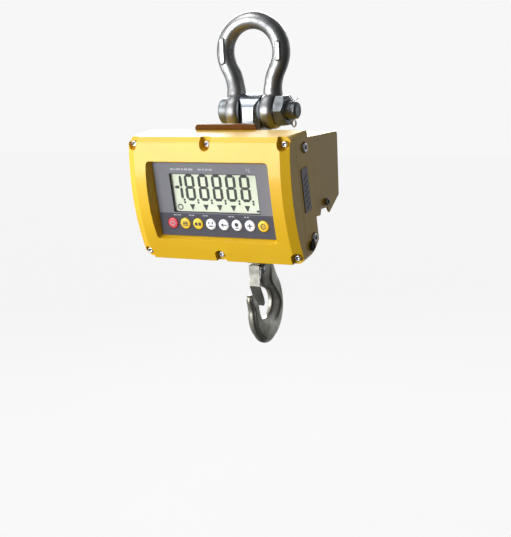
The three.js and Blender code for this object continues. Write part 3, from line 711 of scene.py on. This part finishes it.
# ---- load cell, bracket and screws ----------------------------------------
rounded_node("load_cell", "machined_steel", "scale_body", 0.7, 3)
# the bracket's dark brown finish is painted shade
rounded_node("mounting_bracket", "bracket_paint", "scale_body", 0.5)


def cap_screw(node, look, about, out, head, inverse=WORLD, where=WORLD):
    """A socket-head cap screw in the node's place: knurled head, hexagon socket, plain shank.

    out is +1 or -1, the way its head faces along the axis."""
    low, high = corners(node, inverse)
    k = "xyz".index(about)
    middle = (low + high) / 2
    middle[k] = 0
    across = (high - low)[(k + 1) % 3] / 2
    top = high[k] if out > 0 else low[k]
    end = low[k] if out > 0 else high[k]
    seat = top - out * head
    shank = across * (0.5 if head < 3 else 0.58)
    socket = across * 0.5
    floor = top - out * head * 0.6
    profile = [
        (end, 0), (end, shank * 0.8), (end + out * 0.6, shank), (seat, shank), (seat, across - 0.15),
        (seat + out * 0.15, across), (top - out * 0.55, across), (top - out * 0.2, across - 0.16),
        (top, across - 0.5), (top, socket + 0.35), (top - out * 0.3, socket), (floor, socket),
        (floor - out * 0.5, 0),
    ]

    def shape(a, r, v):
        inside = np.abs(r - socket) < 0.01
        knurl = 0.07 * ((np.arange(v.size)[None, :] % 2) * 2 - 1)
        side = np.abs(r - across) < 0.01
        return np.where(inside, hexagon(v, socket * 1.9), r + side * knurl)

    return made(node + "_turned", turned(profile, about, middle, 60, shape), look, "scale_body",
                (node,), where, sharp=40)


for i in range(1, 7):
    cap_screw(f"cover_screw_{i}", "screw_steel", "y", -1, 3.0, TO_HOUSING, HOUSING)
for i in range(1, 5):
    side = 1 if corners(f"side_screw_{i}", TO_HOUSING)[0][0] > 0 else -1
    cap_screw(f"side_screw_{i}", "screw_steel", "x", side, 4.6, TO_HOUSING, HOUSING)
    cap_screw(f"housing_screw_{i}", "screw_steel", "y", 1, 2.6, TO_HOUSING, HOUSING)
    side = 1 if corners(f"bracket_bolt_{i}")[0][0] > 0 else -1
    cap_screw(f"bracket_bolt_{i}", "screw_steel", "x", side, 6.0)
for i in (1, 2):
    side = 1 if corners(f"rear_cover_screw_{i}")[0][0] > 0 else -1
    cap_screw(f"rear_cover_screw_{i}", "latch_steel", "x", side, 2.8)

# ---- display housing ------------------------------------------------------
rounded_node("front_cover", "yellow_paint", "scale_body", 0.7)
rounded_node("rear_shell", "yellow_paint", "scale_body", 0.6)
rounded_node("keypad_overlay", "panel_film", "scale_body", 0.12)
rounded_node("display_window", "clear_window", "scale_body", 0.12)
rounded_node("lcd_module", "lcd_cell", "scale_body", 0.3)
rounded_node("side_label", "label_film", "scale_body", 0.1)
rounded_node("rear_cover", "cover_paint", "scale_body", 0.7)
rounded_node("battery_holder", "plain_aluminium", "scale_body", 0.3)
rounded_node("battery_pack", "battery_case", "scale_body", 1.0)
for node, look in (
    ("cover_gasket", "black_rubber"), ("main_board", "board_green"), ("inner_frame", "plain_aluminium")
):
    NODES[node].data.materials.clear()
    NODES[node].data.materials.append(LOOKS[look])


def grommet(node, about, profile, look, inverse=WORLD, where=WORLD):
    """A turned rubber or plastic piece; its profile runs from the low end of its node."""
    low, high = corners(node, inverse)
    k = "xyz".index(about)
    centre = (low + high) / 2
    centre[k] = low[k]
    return made(node + "_turned", turned(profile, about, centre, 48), look, "scale_body",
                (node,), where, sharp=30)


grommet("vent_plug", "x", [(0, 0), (0, 4.4), (0.2, 4.6), (1.3, 4.6), (1.9, 4.3), (2.2, 3.7),
                           (2.2, 2.6), (1.7, 2.3), (1.7, 1.2), (2.1, 0.8), (2.2, 0)],
        "black_rubber", TO_HOUSING, HOUSING)
grommet("lead_gland", "y", [(0, 0), (0, 6.0), (0.2, 6.2), (5.0, 6.2), (5.4, 5.9), (6.2, 4.9),
                            (7.0, 4.6), (10.6, 3.6), (11.2, 3.1), (11.2, 2.3), (8, 2.2), (8, 0)],
        "black_plastic", TO_HOUSING, HOUSING)


def in_world(y, z):
    """World (x, y, z) of a point on the housing's middle plane."""
    return HOUSING[:3, :3] @ np.array([0.0, y, z]) + HOUSING[:3, 3] / MM


CELL_FRONT = -13.4


def lead_path():
    """The short lead from the load cell's front to the gland in the housing's back."""
    gland = housing_corners("lead_gland")
    middle = (gland[0][2] + gland[1][2]) / 2
    near, far = in_world(gland[1][1] + 0.1, middle), in_world(gland[1][1] + 3.8, middle)
    route = [(0, CELL_FRONT, -184), (0, -17, -184), (0, (far[1] - 17) / 2, -186), far, near]
    return eased(route, 60)


made("load_cell_lead", tube(lead_path(), 2.2, 24, (1, 0, 0)), "black_rubber", "scale_body",
     ("cell_lead",), sharp=60)

# ---- read-out -------------------------------------------------------------
WINDOW_LOW, WINDOW_HIGH = housing_corners("display_window")
OVERLAP = 0.6  # the window reaches this far behind the edge of its opening
CELL_FRONT = housing_corners("lcd_module")[0][1]
INK = (CELL_FRONT - 0.14, CELL_FRONT - 0.02)  # depths of the segments, just before the cell
DIGIT = {"pitch": 14.1, "first": -24.3, "half": 5.2, "low": -1.7, "high": 23.6, "stroke": 2.7}


def segment(x0, z0, x1, z1, stroke):
    """A six-sided segment from one end point to the other, pointed at both ends."""
    a, b = np.array([x0, z0], float), np.array([x1, z1], float)
    d = (b - a) / np.linalg.norm(b - a)
    n, h = np.array([-d[1], d[0]]), stroke / 2
    return np.array([a, a + h * (d + n), b + h * (n - d), b, b - h * (d + n), a + h * (d - n)])


def figure_strokes(x, on):
    """The lit strokes of one figure with its middle at x; on names them a to g."""
    w, s = DIGIT["half"] - DIGIT["stroke"] / 2, 0.15
    top, low = DIGIT["high"] - DIGIT["stroke"] / 2, DIGIT["low"] + DIGIT["stroke"] / 2
    mid = (top + low) / 2
    ends = {
        "a": (x - w + s, top, x + w - s, top), "b": (x + w, mid + s, x + w, top - s),
        "c": (x + w, low + s, x + w, mid - s), "d": (x - w + s, low, x + w - s, low),
        "e": (x - w, low + s, x - w, mid - s), "f": (x - w, mid + s, x - w, top - s),
        "g": (x - w + s, mid, x + w - s, mid),
    }
    return [prism(segment(*ends[k], DIGIT["stroke"]), *INK) for k in on]


def read_out_parts():
    """Sign, a one, five full figures, points between, five arrows, a ring and a battery mark."""
    parts = []
    mid = (DIGIT["high"] + DIGIT["low"]) / 2
    parts.append(prism(segment(-40.6, mid, -35.0, mid, DIGIT["stroke"]), *INK))
    parts += figure_strokes(-33.6 - DIGIT["half"] + DIGIT["stroke"] / 2, "bc")
    for k in range(5):
        x = DIGIT["first"] + DIGIT["pitch"] * k
        parts += figure_strokes(x, "abcdefg")
        arrow = [(x - 2.8, -5.2), (x + 2.8, -5.2), (x + 0.4, -10.4), (x - 0.4, -10.4)]
        parts.append(prism(arrow, *INK))
    for k in range(6):
        x = DIGIT["first"] - DIGIT["pitch"] + 6.6 + DIGIT["pitch"] * k
        parts.append(prism(bar_mark(x - 0.9, x + 1.0, -1.9, -0.1), *INK))
        parts.append(prism(bar_mark(x - 0.9, x + 1.0, -4.5, -2.4), *INK))
    parts.append(ring_part(-37.2, -8.1, 1.9, 2.9, *INK))
    parts.append(prism(bar_mark(41.0, 44.2, -11.0, -9.2), *INK))
    parts.append(prism(bar_mark(44.4, 45.0, -10.5, -9.7), *INK))
    return joined(*parts)


made("read_out_segments", read_out_parts(), "segment_ink", "scale_body", (), HOUSING)


def bezel():
    """The inside edge of the read-out's opening: a rectangular tube as deep as the panel, near-black as
    painted shade of the recessed walls.
    """
    x0, x1 = WINDOW_LOW[0] + OVERLAP, WINDOW_HIGH[0] - OVERLAP
    z0, z1 = WINDOW_LOW[2] + OVERLAP, WINDOW_HIGH[2] - OVERLAP
    y, wall = (-0.05, WINDOW_LOW[1] - 0.05), 0.45
    walls = [
        (x0 + 0.02, x0 + wall, z0 + 0.02, z1 - 0.02), (x1 - wall, x1 - 0.02, z0 + 0.02, z1 - 0.02),
        (x0 + wall, x1 - wall, z0 + 0.02, z0 + wall), (x0 + wall, x1 - wall, z1 - wall, z1 - 0.02),
    ]
    return joined(*[prism(bar_mark(*w, 0.05, 2), *y) for w in walls])


# the near-black colour of the opening's walls is painted shade
made("read_out_bezel", bezel(), "recess_painted_shade", "scale_body", (), HOUSING)


def legend_parts():
    """Plain dashes where the panel carries words: one row of two groups over the read-out, and one row
    below it.
    """
    y = (-0.05, 0.05)
    parts = []
    top = WINDOW_HIGH[2] + 2.6
    x = -41.0
    for length in (3.2, 1.2, 4.4, 2.2, 3.4, 4.6):
        parts.append(prism(bar_mark(x, x + length, top, top + 1.7, 0.4), *y))
        x += length + 0.9
    x += 4.6
    for length in (3.4, 2.0, 3.0, 3.6):
        parts.append(prism(bar_mark(x, x + length, top, top + 1.7, 0.4), *y))
        x += length + 0.9
    low = WINDOW_LOW[2] - 2.6
    for middle, length in ((-40.2, 8.0), (-25.0, 6.0), (-10.8, 5.4), (16.2, 6.4), (31.4, 5.4)):
        for k in range(2):
            start = middle - length / 2 + k * (length / 2 + 0.2)
            parts.append(prism(bar_mark(start, start + length / 2 - 0.4, low, low + 0.9, 0.25), *y))
    return joined(*parts)


made("panel_legends", legend_parts(), "pale_ink", "scale_body", (), HOUSING)


def unit_sign(text, x, z, size):
    """The unit of the read-out as flat raised letters on the panel."""
    data = bpy.data.curves.new("unit_sign", "FONT")
    data.body, data.size, data.extrude, data.resolution_u = text, size, 0.05, 3
    letters = bpy.data.objects.new("unit_letters", data)
    bpy.context.scene.collection.objects.link(letters)
    bpy.context.view_layer.update()
    mesh = bpy.data.meshes.new_from_object(letters)
    bpy.data.objects.remove(letters)
    co = np.empty(len(mesh.vertices) * 3)
    mesh.vertices.foreach_get("co", co)
    flat = co.reshape(-1, 3)
    points = np.column_stack([x + flat[:, 0], -flat[:, 2], z + flat[:, 1]])
    return points, [list(face.vertices) for face in mesh.polygons]


made("unit_sign", unit_sign("kg", 36.4, WINDOW_HIGH[2] + 2.6, 4.8), "pale_ink", "scale_body",
     (), HOUSING)

# ---- keys -----------------------------------------------------------------
KEY_LOOKS = ("red", "yellow", "yellow", "white", "white", "white", "white", "yellow")


def key_marks(index, x, z, y):
    """A plain sign for each key, raised a tenth of a millimetre from its cap."""
    front, k = (y - 0.1, y + 0.05), 1.25
    bars = {
        2: [(-2.2, 2.2, 0.8, 1.5), (-2.2, 2.2, -0.4, 0.3), (-2.2, 2.2, -1.6, -0.9)],
        3: [(-2.4, -0.4, -1.2, 1.2), (0.4, 2.4, -1.2, 1.2)],
        4: [(-1.8, -1.0, 0.2, 2.0), (1.0, 1.8, 0.2, 2.0), (-1.8, 1.8, -1.6, -0.8)],
        5: [(0.4, 2.6, -0.35, 0.35)],
        6: [(-1.2, 1.2, -2.3, -1.6)],
        7: [(-1.9, 1.9, -0.4, 0.4), (-0.4, 0.4, -1.9, 1.9)],
    }
    parts = [
        prism(bar_mark(x + k * a, x + k * b, z + k * c, z + k * d, 0.2, 3), *front)
        for a, b, c, d in bars.get(index, [])
    ]
    if index == 1:
        parts.append(ring_part(x, z, 1.7, 2.5, *front, TAU * 0.33, TAU * 0.84))
        parts.append(prism(bar_mark(x - 0.3, x + 0.3, z + 0.7, z + 2.5, 0.2, 3), *front))
    if index == 5:
        parts.append(prism([(x - 3.1, z), (x - 0.1, z - 1.8), (x - 0.1, z + 1.8)], *front))
    if index == 6:
        parts.append(prism(disc_mark(x, z + 0.8, 1.8), *front))
    if index == 8:
        parts.append(ring_part(x, z, 1.7, 2.6, *front))
        parts.append(prism(disc_mark(x, z, 0.6), *front))
    return joined(*parts)


for i, colour in enumerate(KEY_LOOKS, 1):
    node = f"key_{i}"
    low, high = housing_corners(node)
    x, z, y = (low[0] + high[0]) / 2, (low[2] + high[2]) / 2, low[1]
    r = (high[0] - low[0]) / 2
    cap = [
        (y, 0), (y + 0.01, r * 0.5), (y + 0.07, r * 0.78), (y + 0.3, r - 0.35), (y + 0.7, r - 0.05),
        (y + 1.0, r), (y + 2.0, r), (y + 2.0, 3), (high[1], 3), (high[1], 0),
    ]
    made(f"{node}_cap", turned(cap, "y", (x, 0, z), 56), f"key_{colour}", node,
         (node,), HOUSING, sharp=50)
    ink = "pale_ink" if i == 1 else "icon_ink"
    made(f"{node}_mark", key_marks(i, x, z, y), ink, node, (), HOUSING)

# ---- hook and latch -------------------------------------------------------
PIN_LOW, PIN_HIGH = corners("hook_pin")
PIN_Z = (PIN_LOW[2] + PIN_HIGH[2]) / 2
HOOK_HALF = corners("hook")[1][0]
BOWL = (1.5, -265.5, 15.0, 15.0)
BACK = (7.1, -270.8, 31.6, 34.8)
LUG_HALF = 4.2  # half thickness between the latch's cheeks


def bezier(p0, p1, p2, p3, u):
    """A cubic curve: (1-u)^3 p0 + 3u(1-u)^2 p1 + 3u^2(1-u) p2 + u^3 p3."""
    u = np.asarray(u, float)[:, None]
    p0, p1, p2, p3 = (np.array(p, float) for p in (p0, p1, p2, p3))
    return (1 - u) ** 3 * p0 + 3 * u * (1 - u) ** 2 * p1 + 3 * u**2 * (1 - u) * p2 + u**3 * p3


def oval(centre_y, centre_z, half_y, half_z, start, end, n):
    """Points (centre + half * (cos v, sin v)) on an ellipse between two angles."""
    v = np.radians(np.linspace(start, end, n))
    return np.column_stack([centre_y + half_y * np.cos(v), centre_z + half_z * np.sin(v)])


def hook_rails():
    """The inner and the outer edge of the hook, matched point by point from shank to tip."""
    back_y, front_y = BACK[0] + BACK[2], BACK[0] - BACK[2]
    back_top = ((12.4, -221.5), (27, -234.5), (back_y, -250), (back_y, BACK[1]))
    tip_top = ((-21.5, -253.4), (-23, -251.6), (-28.2, -251), (-28.6, -256.5))
    inner = [
        np.linspace((-13, -225), (-13.2, -229), 6, endpoint=False),
        bezier((-13.2, -229), (-13.2, -232.5), (-11, -233.5), (-9.5, -235.8),
               np.linspace(0, 0.9, 8)),
        np.linspace((-9.5, -235.8), (-3.5, -244.2), 10, endpoint=False),
        bezier((-3.5, -244.2), (-1, -247.8), (1.5, -249.8), (6, -251.2), np.linspace(0, 0.94, 12)),
        oval(*BOWL, 72.5, 2, 28),
        oval(*BOWL, 0, -180, 72),
        bezier((-13.5, -265.5), (-13.5, -261), (-18, -258), tip_top[0],
               np.linspace(0.05, 0.96, 24)),
        bezier(*tip_top, np.linspace(0, 0.44, 8)),
    ]
    outer = [
        bezier(*back_top, np.linspace(0.05, 0.2, 14, endpoint=False)),
        bezier(*back_top, np.linspace(0.2, 0.36, 10, endpoint=False)),
        bezier(*back_top, np.linspace(0.36, 0.55, 12, endpoint=False)),
        bezier(*back_top, np.linspace(0.55, 0.98, 28)),
        oval(*BACK, 0, -180, 72),
        bezier((front_y, BACK[1]), (front_y, -265), (-29, -261), tip_top[3],
               np.linspace(0.05, 0.97, 24)),
        bezier(*tip_top, np.linspace(1, 0.52, 8)),
    ]
    return np.concatenate(inner), np.concatenate(outer)


def narrowed(points):
    """Holds |x| to the lug's half thickness where the latch's cheeks straddle the shank."""
    x, y, z = points.T
    lug = (y < -5) & (z < -222.5) & (z > -243)
    return np.column_stack([np.where(lug, np.clip(x, -LUG_HALF, LUG_HALF), x), y, z])


def hook_body():
    """Sections between rails: y, z = inner + (outer - inner) a, x = half(a) (1 - |cos v|^4)^(1/4).

    Up to the crease the inside is a hollow-sided nose; past it a flat face with a grooved rim."""
    inner, outer = hook_rails()
    sides, rows = 88, len(inner)
    v = np.linspace(0, TAU, sides, endpoint=False)[None, :]
    a = (1 - np.cos(v)) / 2
    row = np.arange(rows)
    crease = np.interp(row, [0, 14, 24, 36, 48, 64, 80, 93, 117, 136, rows],
                       [0.75, 0.62, 0.42, 0.3, 0.3, 0.6, 0.4, 0.22, 0.12, 0.14, 0.2])[:, None]
    past = np.clip((a - crease) / 0.035, 0, 1)
    nose = 3.2 + 1.1 * np.clip(a / crease, 0, 1) ** 1.5
    face = np.interp(a, [0, 0.8, 0.86, 0.9, 0.94, 1], [5.9, 5.8, 4.4, 3.1, 3.4, 3.0])
    section = nose * (1 - past) + face * past
    slim = np.interp(row, [110, 136, 160, rows], [1, 0.82, 0.56, 0.44])[:, None]
    begin = np.clip((row - 8) / 16, 0, 1)[:, None]
    half = (HOOK_HALF * (1 - begin) + section * begin) * slim
    x = np.sign(np.sin(v)) * half * (1 - np.abs(np.cos(v)) ** 4) ** 0.25
    across = inner[:, None] + (outer - inner)[:, None] * a[..., None]
    points = narrowed(np.concatenate([x[..., None], across], -1).reshape(-1, 3))
    last = (rows - 1) * sides
    ends = [list(range(sides)), [last + k for k in reversed(range(sides))]]
    return points, grid_quads(rows, sides) + ends


def hook_eye():
    """The hook's eye: a rounded ring about the pin."""
    h = HOOK_HALF
    section = [(-h + 1.4, 13), (h - 1.4, 13), (h - 0.4, 12.6), (h, 11.6), (h, 6.2), (h - 0.6, 5.4),
               (-h + 0.6, 5.4), (-h, 6.2), (-h, 11.6), (-h + 0.4, 12.6)]
    points, faces = turned(fine(section + section[:1], 0.8)[:-1], "x", (0, 0, PIN_Z), 64, closed=True)
    return narrowed(points), faces


fused("hook_forging", [hook_eye(), hook_body()], "forged_steel", "hook", ("hook",),
      voxel=0.4, rounds=2)

rounded_node("latch", "latch_steel", "latch", 0.45, 2)


def plain_pin(node, about, profile, look, body):
    """A turned pin in a node's place, from a profile that runs from its low end."""
    low, high = corners(node)
    k = "xyz".index(about)
    centre = (low + high) / 2
    centre[k] = low[k]
    return made(node + "_turned", turned(profile, about, centre, 48), look, body, (node,),
                sharp=35)


plain_pin("hook_pin", "x", [(0, 0), (0, 4.0), (0.9, 5), (31.8, 5), (31.8, 6.6), (32.2, 7), (34.3, 7),
                            (34.8, 6.6), (35, 5.6), (35, 0)],
          "bright_steel", "scale_body")
plain_pin("latch_pin", "x", [(0, 0), (0, 1.8), (0.5, 2.5), (1.1, 2.6), (1.4, 2.5), (1.4, 1.6),
                             (15.0, 1.6), (15.0, 2.5), (15.3, 2.6), (15.8, 2.4), (16.2, 1.8), (16.2, 0)],
          "screw_steel", "hook")
made("hook_split_pin_wire", split_pin(-16.0, PIN_Z, 5.0, 0.5, 1.5, False, 1.9), "screw_steel",
     "scale_body", ("hook_split_pin",), sharp=60)


def latch_spring():
    """A wire spring: a leg along the latch, turns round the pin, and a leg against the shank."""
    low, high = corners("latch_pin")
    y, z = (low[1] + high[1]) / 2, (low[2] + high[2]) / 2
    v = np.linspace(math.radians(200), math.radians(200 + 360 * 2.6), 60)
    coil = np.column_stack([np.linspace(6.1, 7.2, 60), y + 2.55 * np.cos(v), z + 2.55 * np.sin(v)])
    last = coil[-1]
    leg = np.array([[6.1, y - 3.2, z - 10], [6.1, y - 3.1, z - 7], [6.1, y - 2.9, z - 3]])
    tail = np.array([last + (0, 1.6, -1.2), last + (0, 2.6, -3.6), last + (0, 3.2, -6.2)])
    path = eased(np.concatenate([leg, coil, tail]), 200)
    return tube(path, 0.4, 10, (1, 0, 0))


made("latch_spring_wire", latch_spring(), "screw_steel", "latch", ("latch_spring",),
     sharp=60)


# ---- stage ----------------------------------------------------------------
def floor():
    """A plain square floor well below the hook."""
    mesh = bpy.data.meshes.new("floor")
    half, z = 8.0, -0.95
    mesh.from_pydata([(-half, -half, z), (half, -half, z), (half, half, z), (-half, half, z)], [],
                     [(0, 1, 2, 3)])
    mesh.materials.append(pale_floor())
    plane = bpy.data.objects.new("floor", mesh)
    plane.visible_diffuse = plane.visible_glossy = False
    bpy.context.scene.collection.objects.link(plane)


def area_light(name, place, aim, width, height, watts):
    """A soft rectangular lamp at a place, turned to face its aim."""
    data = bpy.data.lights.new(name, "AREA")
    data.shape = "RECTANGLE"
    data.size, data.size_y = width, height
    data.energy = watts
    lamp = bpy.data.objects.new(name, data)
    direction = np.array(aim, float) - np.array(place, float)
    back = -unit(direction)
    right = unit(np.cross((0, 0, 1) if abs(back[2]) < 0.99 else (0, 1, 0), back))
    up = np.cross(back, right)
    turn = Matrix(np.column_stack([right, up, back]).tolist())
    lamp.matrix_world = Matrix.Translation(place) @ turn.to_4x4()
    bpy.context.scene.collection.objects.link(lamp)


def studio():
    """Soft key from the front left, weak left and high lights, a lamp behind, and a graded fill."""
    middle = (0, -0.03, -0.15)
    area_light("key", (-1.1, -2.15, 0.0), middle, 1.5, 1.3, 62)
    area_light("left", (-2.2, -0.8, -0.1), middle, 0.8, 1.2, 14)
    area_light("top", (-0.9, -0.7, 1.35), middle, 1.0, 1.0, 14)
    area_light("behind", (-1.1, 2.0, 0.95), middle, 2.2, 1.4, 85)
    world = bpy.data.worlds.new("studio")
    bpy.context.scene.world = world
    world.use_nodes = True
    nodes, links = world.node_tree.nodes, world.node_tree.links

    def ranged(socket, low, high, at_low, at_high):
        node = nodes.new("ShaderNodeMapRange")
        for index, value in enumerate((low, high, at_low, at_high), 1):
            node.inputs[index].default_value = value
        links.new(socket, node.inputs[0])
        return node.outputs[0]

    shown, fill = nodes["Background"], nodes.new("ShaderNodeBackground")
    shown.inputs[0].default_value = (0.93, 0.93, 0.93, 1)
    fill.inputs[0].default_value = (0.95, 0.97, 1.0, 1)
    way, split = nodes.new("ShaderNodeTexCoord"), nodes.new("ShaderNodeSeparateXYZ")
    links.new(way.outputs["Generated"], split.inputs[0])
    product = nodes.new("ShaderNodeMath")
    product.operation = "MULTIPLY"
    total = nodes.new("ShaderNodeMath")
    links.new(ranged(split.outputs[0], -0.5, 0.6, 0.45, 0.08), total.inputs[0])
    links.new(ranged(split.outputs[1], 0.45, 0.95, 0.0, 0.6), total.inputs[1])
    links.new(total.outputs[0], product.inputs[0])
    links.new(ranged(split.outputs[2], -0.7, 0.0, 0.5, 1.0), product.inputs[1])
    links.new(product.outputs[0], fill.inputs[1])
    path, mix = nodes.new("ShaderNodeLightPath"), nodes.new("ShaderNodeMixShader")
    links.new(path.outputs["Is Camera Ray"], mix.inputs[0])
    links.new(fill.outputs[0], mix.inputs[1])
    links.new(shown.outputs[0], mix.inputs[2])
    links.new(mix.outputs[0], nodes["World Output"].inputs[0])


def camera():
    """The camera stands front right, a little above, and looks at the housing."""
    data = bpy.data.cameras.new("camera")
    data.sensor_width = 36
    data.lens = 80.9
    data.shift_x, data.shift_y = 0.0382, -0.1555
    data.clip_start, data.clip_end = 0.05, 60
    turn = Matrix((
        (0.88150, -0.02099, 0.47175), (0.47059, 0.12155, -0.87395), (-0.03899, 0.99240, 0.11702)
    ))
    eye = bpy.data.objects.new("camera", data)
    eye.matrix_world = Matrix.Translation((0.5285, -1.0259, -0.0124)) @ turn.to_4x4()
    bpy.context.scene.collection.objects.link(eye)
    bpy.context.scene.camera = eye


floor()
studio()
camera()
bpy.context.scene.view_settings.view_transform = "Standard"

bpy.context.view_layer.update()
